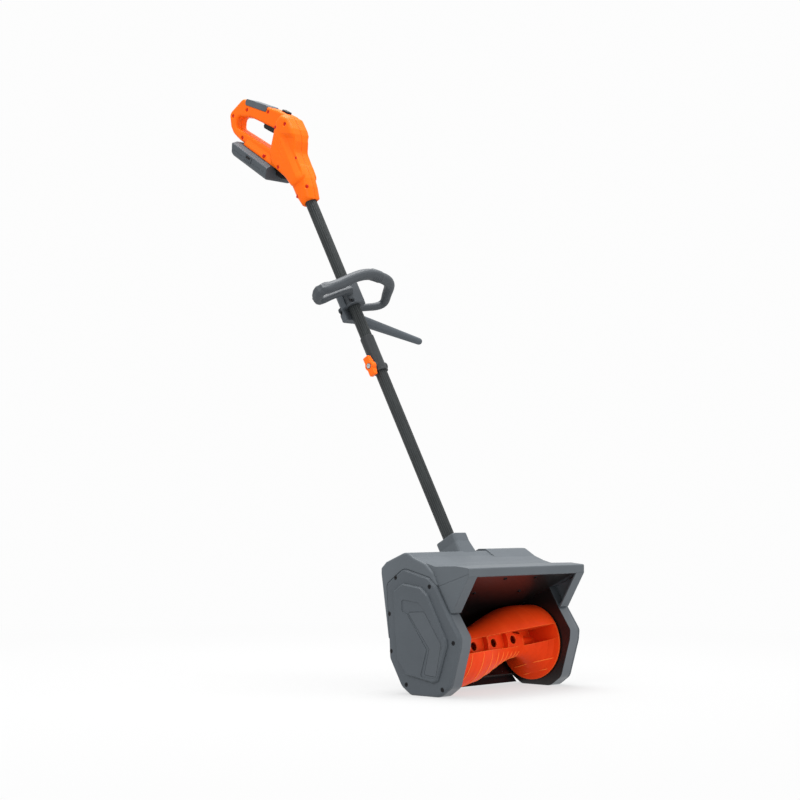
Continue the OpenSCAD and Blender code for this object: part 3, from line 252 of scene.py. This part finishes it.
class Finish:
    """One procedural material, built from words for its nodes."""

    def __init__(self, name):
        self.material = bpy.data.materials.new(name)
        self.material.use_nodes = True
        self.tree = self.material.node_tree
        self.tree.nodes.clear()
        out = self.tree.nodes.new("ShaderNodeOutputMaterial")
        self.shader = self.tree.nodes.new("ShaderNodeBsdfPrincipled")
        self.tree.links.new(self.shader.outputs[0], out.inputs["Surface"])
        self.place = self.wire("ShaderNodeTexCoord", None, None, "Object")

    def node(self, kind, settings=None, inputs=None):
        """Any node: its settings first, then the values or links of its sockets."""
        made = self.tree.nodes.new(kind)
        for word, value in (settings or {}).items():
            setattr(made, word, value)
        for key, value in (inputs or {}).items():
            self.feed(made.inputs[key], value)
        return made

    def wire(self, kind, settings, inputs, output=0):
        """Any node, as the wire from one of its outputs."""
        return Wire(self, self.node(kind, settings, inputs).outputs[output])

    def feed(self, socket, value):
        """A wire is linked to the socket, and anything else is set on it."""
        if isinstance(value, Wire):
            self.tree.links.new(value.socket, socket)
        else:
            socket.default_value = value

    def set(self, **sockets):
        """Sockets of the main shader, with underscores for the blanks in their names."""
        for key, value in sockets.items():
            self.feed(self.shader.inputs[key.replace("_", " ")], value)

    def noise(self, scale, detail, rough, stretch=None):
        """Noise of so many lumps to the metre, with octaves of detail, in a space that may be stretched."""
        at = self.place
        if stretch:
            at = self.wire("ShaderNodeMapping", None, {"Vector": at, "Scale": stretch})
        return self.wire("ShaderNodeTexNoise", None,
                         {"Vector": at, "Scale": scale, "Detail": detail, "Roughness": rough})

    def cells(self, scale):
        """Distance from the middle of the nearest of so many cells to the metre."""
        return self.wire("ShaderNodeTexVoronoi", {"feature": "F1"}, {"Vector": self.place, "Scale": scale},
                         "Distance")

    def axes(self, at=None):
        """The three parts of a vector, or of the place itself."""
        split = self.node("ShaderNodeSeparateXYZ", None, {"Vector": at or self.place})
        return [Wire(self, part) for part in split.outputs]

    def blend(self, amount, a, b):
        """Colour a where the amount is 0, and colour b where it is 1."""
        made = self.node("ShaderNodeMix", {"data_type": "RGBA"}, {0: amount, 6: a, 7: b})
        return Wire(self, made.outputs[2])

    def facing(self):
        """Normal of the flat face."""
        return self.wire("ShaderNodeNewGeometry", None, None, "True Normal")

    def rounded(self, radius):
        """Normal of the surface with its sharp edges rolled over."""
        return self.wire("ShaderNodeBevel", {"samples": 6}, {"Radius": radius})

    def edges(self, radius):
        """1 along sharp edges and 0 on the flats: how far the rolled normal leaves the flat one, times 6."""
        along = self.wire("ShaderNodeVectorMath", {"operation": "DOT_PRODUCT"},
                          {0: self.rounded(radius), 1: self.facing()}, "Value")
        return ((1 - along) * 6.0).clamp()

    def bump(self, height, strength, distance, radius=0.0):
        """Normal of a raised pattern, over edges rolled by a radius if one is given."""
        inputs = {"Height": height, "Strength": strength, "Distance": distance}
        if radius:
            inputs["Normal"] = self.rounded(radius)
        return self.wire("ShaderNodeBump", None, inputs)


def rgba(colour):
    """Colour with full alpha."""
    return (*colour, 1.0)


def shade(colour, k):
    """Colour made darker or lighter by a factor."""
    return rgba(tuple(c * k for c in colour))


# ---------------------------------------------------------------- finishes

GREY = (0.070, 0.081, 0.092)
# The cover's grey made lighter for the top housing: painted light for its lit top.
HOUSING_LIT_GREY = (0.090, 0.103, 0.115)
SCOOP = (0.080, 0.093, 0.106)
INSERT = (0.075, 0.086, 0.097)
RING = (0.048, 0.055, 0.062)
PACK = (0.062, 0.072, 0.082)
SLEEVE = (0.028, 0.031, 0.033)
ORANGE = (0.82, 0.125, 0.003)
ROTOR = (0.76, 0.050, 0.006)
ROTOR_FLOW = (0.95, 0.12, 0.02)
# Bright orange for painted highlights: along the auger's edges and on its fine ribs.
HIGHLIGHT_ORANGE = (0.95, 0.20, 0.035)
# Red of the neck screws: black screws coloured with the orange light of their recesses, a painted reflection.
PAINTED_RECESS_LIGHT = (0.50, 0.010, 0.006)
TUBE = (0.014, 0.0165, 0.017)
BLACK = (0.008, 0.008, 0.009)
# Near-black: painted shade inside the scoop and under the battery seat, and the real black of the latches'
# thumb pads.
PAD_BLACK_AND_PAINTED_SHADE = (0.009, 0.0075, 0.0075)
ZINC = (0.56, 0.57, 0.59)
CAN = (0.42, 0.43, 0.45)
OXIDE = (0.03, 0.03, 0.032)
WRAP = (0.08, 0.18, 0.36)


def moulded(name, colour, rough=0.46, grain=2600, roll=0.0007, shine=0.2, worn=0.35, cloud=0.06, shade_and_pad_mask=None):
    """Injection-moulded plastic: spark grain, slow colour drift, burnished and slightly lighter edges.

    Roll is the radius of the edges, worn the share of scuffs on them and cloud the drift of the colour.
    The last argument is a mask for the places painted near-black: painted shade inside the scoop and under
    the battery seat, and the real black thumb pad of a latch.
    """
    f = Finish(name)
    drift = f.noise(9.0, 4.0, 0.6)
    speck = f.noise(420.0, 2.0, 0.5)
    scuff = f.noise(60.0, 5.0, 0.7).step(0.45, 0.7)
    fine = f.noise(grain, 2.0, 0.6)
    marks = f.noise(30.0, 6.0, 0.75, stretch=(1, 1, 6)).step(0.5, 0.8)
    edge = f.edges(roll)
    base = f.blend(drift.step(0.3, 0.7), shade(colour, 1 - cloud), shade(colour, 1 + cloud))
    base = f.blend(speck.step(0.55, 0.75) * 0.10, base, shade(colour, 1.6))
    base = f.blend(edge * scuff * worn, base, shade(colour, 1.9))
    # Painted shade, and the real black thumb pad: near-black where the mask is set.
    if shade_and_pad_mask:
        base = f.blend(shade_and_pad_mask(f), base, rgba(PAD_BLACK_AND_PAINTED_SHADE))
    f.set(Base_Color=base, Specular_IOR_Level=shine,
          Roughness=(rough + (fine - 0.5) * 0.10 + marks * 0.08 - edge * 0.12).clamp(),
          Normal=f.bump(fine, 0.35, 0.00006, roll))
    return f.material


def rotor_plastic():
    """Orange nylon of the auger: satin, with faint flow lines, radial tool marks and a painted highlight
    along its edges.
    """
    f = Finish("rotor_plastic")
    drift = f.noise(14.0, 4.0, 0.6)
    flow = f.noise(16.0, 3.0, 0.6, stretch=(7, 1, 1))
    fine = f.noise(1500.0, 2.0, 0.5)
    scratch = f.noise(90.0, 4.0, 0.8, stretch=(1, 8, 8)).step(0.55, 0.75)
    base = f.blend(drift.step(0.3, 0.7), shade(ROTOR, 0.88), shade(ROTOR, 1.06))
    base = f.blend(flow.step(0.5, 0.75) * 0.15, base, rgba(ROTOR_FLOW))
    # Painted highlight: the auger's edges lightened towards bright orange.
    base = f.blend(f.edges(0.0016) * 0.85, base, rgba(HIGHLIGHT_ORANGE))
    f.set(Base_Color=base, Specular_IOR_Level=0.07,
          Roughness=(0.42 + scratch * 0.12 + (fine - 0.5) * 0.08).clamp(),
          Normal=f.bump(fine * 0.5 + flow * 1.2, 0.25, 0.0002, 0.0009))
    return f.material


def tube_coat():
    """Dark satin coat over a drawn tube, with 18 long shallow flutes: a sine of the angle round its axis,
    which also lightens the colour along each flute as a painted highlight.
    """
    f = Finish("tube_coat")
    x, behind, _ = along_tube(f)
    flute = (x.angle(behind) * 18).sine()
    fine = f.noise(900.0, 2.0, 0.5)
    streak = f.noise(26.0, 3.0, 0.6, stretch=(6, 1.2, 0.25))
    base = f.blend(streak.step(0.35, 0.7), shade(TUBE, 0.75), shade(TUBE, 1.4))
    # Painted highlight: lighter stripes on the crests of the flutes.
    base = f.blend(flute.step(-0.2, 1.0) * 0.6, base, shade(TUBE, 2.6))
    base = f.blend(f.edges(0.0005) * 0.4, base, shade(TUBE, 3.0))
    f.set(Base_Color=base, Metallic=0.15, Specular_IOR_Level=0.25,
          Roughness=(0.42 + (fine - 0.5) * 0.16 + streak * 0.06).clamp(),
          Normal=f.bump(fine * 0.08 + flute * 0.9, 0.8, 0.0005, 0.0005))
    return f.material


def steel(name, tint, rough, brushed=(1, 1, 1)):
    """Plated, painted or blackened steel, with brush lines and a few dull patches."""
    f = Finish(name)
    lines = f.noise(240.0, 4.0, 0.6, stretch=brushed)
    patch = f.noise(35.0, 4.0, 0.6)
    base = f.blend(patch.step(0.4, 0.7), shade(tint, 0.86), shade(tint, 1.05))
    base = f.blend(f.edges(0.0003) * 0.4, base, shade(tint, 1.3))
    f.set(Base_Color=base, Metallic=1.0, Roughness=(rough + (lines - 0.5) * 0.2 + patch * 0.08).clamp(),
          Normal=f.bump(lines, 0.15, 0.00004, 0.0003))
    return f.material


def soft_grip():
    """Grey rubber overlay with a fine pimpled skin."""
    f = Finish("soft_grip")
    drift = f.noise(30.0, 3.0, 0.6)
    pimples = 1 - f.cells(520.0).step(0.0, 0.5)
    f.set(Base_Color=f.blend(drift.step(0.3, 0.7), shade(GREY, 0.78), shade(GREY, 0.98)),
          Roughness=(0.62 + drift * 0.12).clamp(), Normal=f.bump(pimples, 0.5, 0.00025, 0.0006))
    return f.material


def belt_rubber():
    """Matt black rubber with a fine grain and a slow drift of its colour."""
    f = Finish("belt_rubber")
    fine = f.noise(1200.0, 3.0, 0.6)
    drift = f.noise(20.0, 3.0, 0.6)
    f.set(Base_Color=f.blend(drift.step(0.3, 0.7), shade(BLACK, 0.8), shade(BLACK, 1.5)),
          Roughness=(0.7 + (fine - 0.5) * 0.15).clamp(), Normal=f.bump(fine, 0.3, 0.0001))
    return f.material


def painted_scoop_shade(f):
    """1 on the faces between the two side walls that look towards the auger's axis, 0 on the others: the
    places of the painted shade inside the scoop.
    """
    x, y, z = f.axes()
    nx, ny, nz = f.axes(f.facing())
    outwards = x * nx + (y - AUGER_AT[1]) * ny + (z - AUGER_AT[2]) * nz
    return (1 - abs(x).step(SIDE_X + 0.0002, SIDE_X + 0.0008)) * (1 - outwards.step(0.03, 0.04))


def along_tube(f):
    """Across, behind and along the tube, as three wires."""
    x, y, z = f.axes()
    return x, *turned(y - TUBE_FOOT[1], z - TUBE_FOOT[2], LEAN)


def off_seat(f):
    """Distance from the plane of the battery's seat and place along it, as two wires."""
    _, behind, along = along_tube(f)
    return turned(behind - SEAT_Y, along - SEAT_S, SEAT_TURN)


def painted_shade_below_seat(f):
    """1 on the terminal block and the tongue, past the plane of the battery's seat: painted shade between the
    battery and the body.
    """
    away, up = off_seat(f)
    return away.step(0.0002, 0.0008) * up.step(-0.0540, -0.0535)


def thumb_pad(f):
    """1 on the dark thumb pad at the seat's side of a battery latch."""
    away, up = off_seat(f)
    return (1 - away.step(0.0150, 0.0156)) * up.step(0.0360, 0.0366) * (1 - up.step(0.0500, 0.0506))


# Painted light: the top housing takes a lighter grey than the cover.
housing = moulded("housing_plastic", HOUSING_LIT_GREY, rough=0.50, roll=0.0022)
# Painted shade: the inside of the scoop is coloured near-black.
scoop = moulded("scoop_plastic", SCOOP, rough=0.30, roll=0.0014, shine=0.5, shade_and_pad_mask=painted_scoop_shade)
cover = moulded("cover_plastic", GREY, rough=0.48, roll=0.0009)
insert = moulded("insert_plastic", INSERT, rough=0.44, roll=0.0005)
# Painted shade: near-black on the terminal block and tongue under the battery seat.
handle = moulded("handle_plastic", ORANGE, rough=0.42, grain=2200, roll=0.0014, shine=0.1, worn=0.25,
                 cloud=0.05, shade_and_pad_mask=painted_shade_below_seat)
knob = moulded("knob_plastic", ORANGE, rough=0.36, roll=0.0008, shine=0.15, worn=0.25)
loop = moulded("loop_plastic", GREY, rough=0.50, roll=0.001)
ring = moulded("ring_plastic", RING, rough=0.50, roll=0.001, shine=0.3)
control = moulded("control_plastic", BLACK, rough=0.42, roll=0.0005, worn=0.5)
pack = moulded("pack_plastic", PACK, rough=0.50, roll=0.0009)
latch = moulded("latch_plastic", PACK, rough=0.50, roll=0.0005, shade_and_pad_mask=thumb_pad)
sleeve = moulded("sleeve_plastic", SLEEVE, rough=0.45, roll=0.0006)
# Painted highlight: the fine ribs, the same nylon as the auger, take a brighter orange.
rib = moulded("rib_painted_highlight", HIGHLIGHT_ORANGE, rough=0.4, roll=0.0003, shine=0.12, worn=0.2)
# Painted reflection: the black neck screws take the red of their recesses' orange light.
screw_painted_recess_light = moulded("screw_painted_recess_light", PAINTED_RECESS_LIGHT, rough=0.45, roll=0.0003, shine=0.2)
zinc = steel("zinc_steel", ZINC, 0.32)
can = steel("motor_steel", CAN, 0.4, brushed=(8, 1, 1))
oxide = steel("oxide_steel", OXIDE, 0.42)
wrap = steel("cell_wrap", WRAP, 0.45)
rotor = rotor_plastic()
tube = tube_coat()
grip = soft_grip()
belt = belt_rubber()

dress = {
    housing: ["top_housing"],
    scoop: ["auger_housing"],
    cover: ["end_cover", "belt_cover"],
    insert: ["end_insert", "belt_insert"],
    oxide: ["end_cover_screws", "belt_cover_screws", "clamp_screws", "barrier_screw", "collar_screws",
            "hood_screws"],
    screw_painted_recess_light: ["handle_screws"],
    zinc: ["scraper_screws", "idle_shaft", "drive_shaft", "auger_bearings", "motor_pulley",
           "motor_bracket", "motor_screws", "knob_bolt", "trigger_pin", "terminals"],
    can: ["motor_can", "motor_rotor"],
    control: ["scraper_blade", "auger_pulley", "motor_cap", "trigger", "power_switch", "lock_button",
              "controller"],
    latch: ["battery_latch_left", "battery_latch_right"],
    rotor: ["auger"],
    tube: ["lower_tube", "upper_tube"],
    sleeve: ["coupler", "knob_nut"],
    knob: ["wing_knob"],
    loop: ["loop_handle", "loop_clamp", "barrier_bar"],
    handle: ["handle_left", "handle_right"],
    grip: ["grip_saddle"],
    belt: ["drive_belt", "power_cable"],
    wrap: ["battery_cells"],
    pack: ["battery_case"],
}
for material, names in dress.items():
    for name in names:
        slots = nodes[name].data.materials
        if slots:
            slots[0] = material
        else:
            slots.append(material)


# ---------------------------------------------------------------- making of pieces

def body_of(name):
    """Body that a node rides on."""
    return next(body for body, row in bodies.items() if name in row)


def made_piece(title, mesh, material, body):
    """Finished piece: a smooth mesh in one material that rides on a body."""
    mesh.shade_smooth()
    mesh.materials.clear()
    mesh.materials.append(material)
    piece = placed(title, mesh)
    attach(piece, body)
    return piece


def remeshed(name, voxel, filler=None):
    """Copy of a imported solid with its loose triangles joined, on an even mesh of small faces.

    A filler is the eight corners of a block that closes openings before the even mesh is made.
    """
    mesh = nodes[name].data.copy()
    work = bmesh.new()
    work.from_mesh(mesh)
    bmesh.ops.remove_doubles(work, verts=work.verts, dist=2e-6)
    if filler is not None:
        corners = [work.verts.new(c) for c in filler]
        block = [work.faces.new([corners[k] for k in row]) for row in
                 ((0, 1, 3, 2), (4, 6, 7, 5), (0, 4, 5, 1), (2, 3, 7, 6), (0, 2, 6, 4), (1, 5, 7, 3))]
        bmesh.ops.recalc_face_normals(work, faces=block)
    work.to_mesh(mesh)
    work.free()
    rough = placed(name + "_rough", mesh)
    remesh = rough.modifiers.new("even", "REMESH")
    remesh.mode = "VOXEL"
    remesh.voxel_size = voxel
    seen = rough.evaluated_get(bpy.context.evaluated_depsgraph_get())
    even = bpy.data.meshes.new_from_object(seen)
    bpy.data.objects.remove(rough)
    return even


def reshaped(name, title, field, material, voxel, filler=None):
    """Piece that stands for a node: its even copy, with each point moved by a field of places."""
    mesh = remeshed(name, voxel, filler)
    mesh.name = title
    flat = np.empty(len(mesh.vertices) * 3)
    mesh.vertices.foreach_get("co", flat)
    mesh.vertices.foreach_set("co", field(flat.reshape(-1, 3)).ravel())
    mesh.update()
    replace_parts(made_piece(title, mesh, material, body_of(name)), name)


def beads(title, paths, material, body):
    """One mesh of round beads: a circle carried along each path, square to it.

    With the place along a path counted from -1 to 1, the circle's radius is the bead's radius times the
    root of 1 less the eighth power of that place, so that both ends draw in.
    """
    turn = np.linspace(0, 2 * np.pi, BEAD_SIDES, endpoint=False)
    verts, faces, start = [], [], 0
    for path in paths:
        n = len(path)
        along = np.gradient(path, axis=0)
        along /= np.linalg.norm(along, axis=1)[:, None]
        side = np.cross(along, (0.31, 0.17, 0.93))
        side /= np.linalg.norm(side, axis=1)[:, None]
        up = np.cross(side, along)
        thick = BEAD_R * np.sqrt(np.clip(1 - np.linspace(-1, 1, n) ** 8, 0.0004, 1))
        circle = side[:, None] * np.cos(turn)[:, None] + up[:, None] * np.sin(turn)[:, None]
        verts.append((path[:, None] + circle * thick[:, None, None]).reshape(-1, 3))
        i, j = np.meshgrid(np.arange(n - 1), np.arange(BEAD_SIDES), indexing="ij")
        a, b = start + i * BEAD_SIDES + j, start + i * BEAD_SIDES + (j + 1) % BEAD_SIDES
        faces += np.stack((a, b, b + BEAD_SIDES, a + BEAD_SIDES), -1).reshape(-1, 4).tolist()
        end = start + np.arange(BEAD_SIDES)
        faces += [end[::-1].tolist(), (end + (n - 1) * BEAD_SIDES).tolist()]
        start += n * BEAD_SIDES
    mesh = bpy.data.meshes.new(title)
    mesh.from_pydata(np.concatenate(verts).tolist(), [], faces)
    made_piece(title, mesh, material, body)


# ---------------------------------------------------------------- reshaped pieces

def vent_block(side):
    """Corners of a block inside the flat wall beside the hand opening, behind its row of slots."""
    half_u, half_v = BLOCK_HALF
    corners = []
    for depth in BLOCK_DEPTHS:
        for u in (-half_u, half_u):
            for v in (-half_v, half_v):
                y, s = turned(v, u, -BLOCK_TURN)
                corners.append((side * (BODY_X - depth), BLOCK_Y + y, BLOCK_S + s))
    return from_tube(np.array(corners))


def vent_lines(x, y, s):
    """Depth of the grooves beside the hand opening: each falls off straight from its slanting middle line."""
    depth = 0
    for at, low, high in GROOVES:
        off = np.abs(y - at - GROOVE_SLANT * (s - GROOVE_MIDDLE))
        band = GROOVE_DEPTH * np.clip(1 - off / GROOVE_HALF, 0, 1)
        depth = depth + band * ramp(s, low, low + GROOVE_END) * ramp(-s, -high, -high + GROOVE_END)
    return depth * ramp(np.abs(x), BODY_X - 0.0012, BODY_X - 0.0004)


def button_floor(x, y, s):
    """Ledge under the lock-off button set deeper, fading out over the next millimetres."""
    down, along = to_grip(y, s)
    near = (ramp(LEDGE_X - np.abs(x), 0, 0.0015)
            * (1 - ramp(np.abs(down - LEDGE_DOWN), 0.0008, 0.0016))
            * (1 - ramp(np.abs(along - LEDGE_ALONG), 0.0015, 0.0030)))
    return from_grip(down + LEDGE_SINK * near, along)


def waist(points):
    """Outer walls of the rear body drawn in below its belly, towards the neck.

    Past the inner wall the half width shrinks by a share that rises across two bands: one below a line
    that falls forwards across the belly, and one in front of the vents. The front draws back as well.
    """
    x, y, s = to_tube(points).T
    under = ramp(BELLY_S + BELLY_FALL * (y - BELLY_Y) - s, 0, BAND)
    front = ramp(VENT_Y - y, 0, BAND)
    neck = ramp(s, 0.880, 0.925)
    share = under * front * neck
    wide = np.sign(x) * (WALL_X + (np.abs(x) - WALL_X) * (1 - DRAW_IN * share))
    x = np.where(np.abs(x) > WALL_X, wide, x)
    x = x - np.sign(x) * vent_lines(x, y, s)
    y, s = button_floor(x, y, s)
    y = y + DRAW_BACK * ramp(-y, 0.018, 0.034) * ramp(s, 0.905, 0.940) * (1 - ramp(s, 0.975, 1.005))
    return from_tube(np.stack((x, y, s), 1))


def longer_bar(points):
    """Bar drawn out along its own line: each point goes on by a share of its way past the held length."""
    line = np.array((sin(BAR_DROP) * cos(BAR_SWING), sin(BAR_DROP) * sin(BAR_SWING), cos(BAR_DROP)))
    past = np.maximum((to_tube(points) - BAR_ROOT) @ line - BAR_HOLD, 0)
    return from_tube(to_tube(points) + BAR_STRETCH * past[:, None] * line)


def square_trigger(points):
    """Trigger with a level finger face: places past a plane across the grip are set back to it."""
    x, y, s = to_tube(points).T
    down, along = to_grip(y, s)
    along = along + TOE_OUT * ramp(down, 0.002, 0.004) * ramp(along, 0.030, 0.044)
    down = np.where(down > FACE_DOWN, FACE_DOWN + FACE_KEEP * (down - FACE_DOWN), down)
    return from_tube(np.stack((x, *from_grip(down, along)), 1))


def loop_end(points):
    """Outer end of the loop set lower and closer in, by a share that grows towards it, then squared.

    The end is a round bar about a core line. Each point's step from the core is lengthened by the
    step's length over its fourth-power length, so that the round section turns into a soft square.
    """
    share = ramp(-points[:, 0], -0.020, 0.095) ** 1.4
    x, y, s = to_tube(points + share[:, None] * LOOP_END_SHIFT).T
    u, w = turned(y, s - LOOP_S, LOOP_TILT)
    core = np.stack((np.maximum(x, LOOP_END_X), np.clip(u, *LOOP_END_SPAN), np.full(len(x), LOOP_END_OFF)), 1)
    step = np.stack((x, u, w), 1) - core
    length = np.linalg.norm(step, axis=1)
    square = length / np.maximum((step ** 4).sum(1) ** 0.25, 1e-6)
    near = ramp(-x, 0.078, 0.098) * (length < LOOP_END_REACH)
    x, u, w = (core + step * (1 + (square - 1) * near)[:, None]).T
    y, s = turned(u, w, -LOOP_TILT)
    return from_tube(np.stack((x, y, LOOP_S + s), 1))


reshaped("handle_left", "rear_shell_left", waist, handle, EVEN, vent_block(-1))
reshaped("handle_right", "rear_shell_right", waist, handle, EVEN, vent_block(1))
reshaped("handle_screws", "rear_shell_screws", waist, screw_painted_recess_light, EVEN_SCREW)
reshaped("barrier_bar", "spacer_bar", longer_bar, loop, EVEN_BAR)
reshaped("trigger", "finger_trigger", square_trigger, control, EVEN_TRIGGER)
reshaped("loop_handle", "loop_grip", loop_end, ring, EVEN)


# ---------------------------------------------------------------- fine ribs of the auger

def lower_skin(x):
    """Radius of the lower skin at x, from that of the waist up to that of the auger.

    Past the waist it rises on a quarter circle. Before it, with t the share of the way to full radius, it
    rises on the smooth step, three times t squared less twice t cubed.
    """
    flare = np.clip((x - WAIST_X) / (AUGER_L - WAIST_X), 0, 1)
    step = np.clip((WAIST_X - x) / (WAIST_X - FULL_X), 0, 1)
    rise = np.where(x > WAIST_X, 1 - np.sqrt(1 - flare * flare), step * step * (3 - 2 * step))
    return WAIST_R + (AUGER_R - WAIST_R) * rise


def skin_rings():
    """Arcs round the lower skin, almost from one edge of the channel to the other.

    Their distances from the waist grow with the power 1.5 of even steps, so they lie closer towards it.
    """
    for x in WAIST_X - ARC_GAP - ARC_SPREAD * np.linspace(0.05, 1, ARCS) ** 1.5:
        r = lower_skin(np.array(x))
        turn = np.arccos(CHANNEL_H / 2 / r) * np.linspace(-ARC_SHARE, ARC_SHARE, ARC_POINTS)
        yield from_auger(np.stack((np.full(ARC_POINTS, x), r * np.sin(turn), -r * np.cos(turn)), 1))


def flare_lines():
    """Level lines across the flare: where it meets planes parallel to the channel."""
    for z in LEVELS:
        x = np.linspace(WAIST_X, AUGER_L, LEVEL_POINTS)
        r = lower_skin(x) + LEVEL_LIFT
        past = r > abs(z) + 0.0004
        x, r = x[past], r[past]
        y = np.sqrt(r * r - z * z)
        for side in (-1, 1):
            yield from_auger(np.stack((x, side * y, np.full(len(x), z)), 1)[::LEVEL_STEP])


beads("auger_ribs", [*skin_rings(), *flare_lines()], rib, body_of("auger"))


# ---------------------------------------------------------------- floor and light

def floor():
    """Pale floor that takes a soft shadow near the object and is as white as the surroundings further off."""
    h = FLOOR_HALF
    mesh = bpy.data.meshes.new("studio_floor")
    mesh.from_pydata([(-h, -h, 0), (h, -h, 0), (h, h, 0), (-h, h, 0)], [], [(0, 1, 2, 3)])
    f = Finish("studio_floor")
    x, y, _ = f.axes()
    away = ((x * x + y * y) ** 0.5).step(FLOOR_NEAR, FLOOR_FAR)
    f.set(Base_Color=f.blend(away, rgba((FLOOR_PALE,) * 3), rgba((0, 0, 0))), Roughness=0.9,
          Emission_Color=f.blend(away, rgba((NEAR_GLOW,) * 3), rgba((WHITE_GLOW,) * 3)),
          Emission_Strength=1.0, Specular_IOR_Level=0.0)
    mesh.materials.append(f.material)
    placed("studio_floor", mesh)


camera()
floor()
world_glow(WHITE_GLOW)
for name, values in LIGHTS.items():
    softbox(name, *values)
